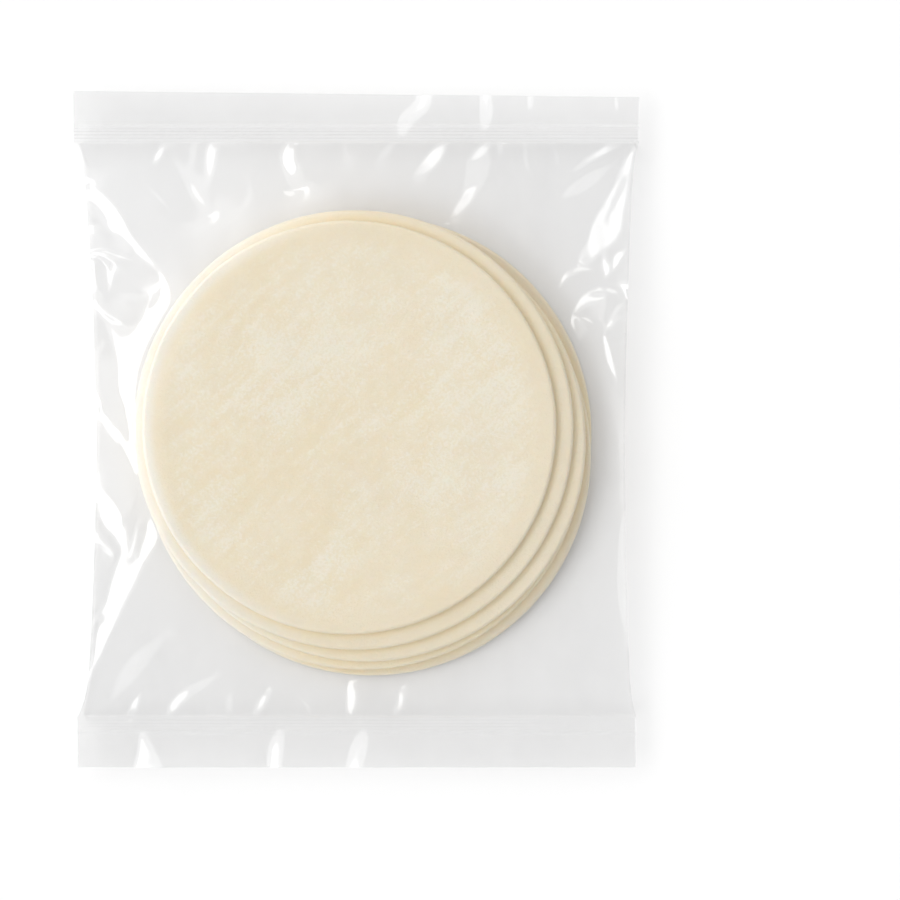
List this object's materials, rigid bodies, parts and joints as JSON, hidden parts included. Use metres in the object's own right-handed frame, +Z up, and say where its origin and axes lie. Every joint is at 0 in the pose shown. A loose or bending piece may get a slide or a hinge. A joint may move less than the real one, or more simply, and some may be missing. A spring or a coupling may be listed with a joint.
{
  "type": "stack of dumpling wrappers in a clear bag",
  "caption": "Neat offset stack of round, thin dumpling wrappers sealed in a clear film bag with flat crimped ends, lying on its back.",
  "frame": {"origin": "centre of the bag's outline, at the flat face it rests on", "axes": "+Y towards the top seal, +Z up out of the stack, +X to the right seen from above"},
  "size_m": [0.1288, 0.154, 0.0099],
  "materials": {
    "film": "clear gloss film over pale matt dough"
  },
  "bodies": {
    "root": {"sealed_bag": "film"}
  },
  "joints": []
}
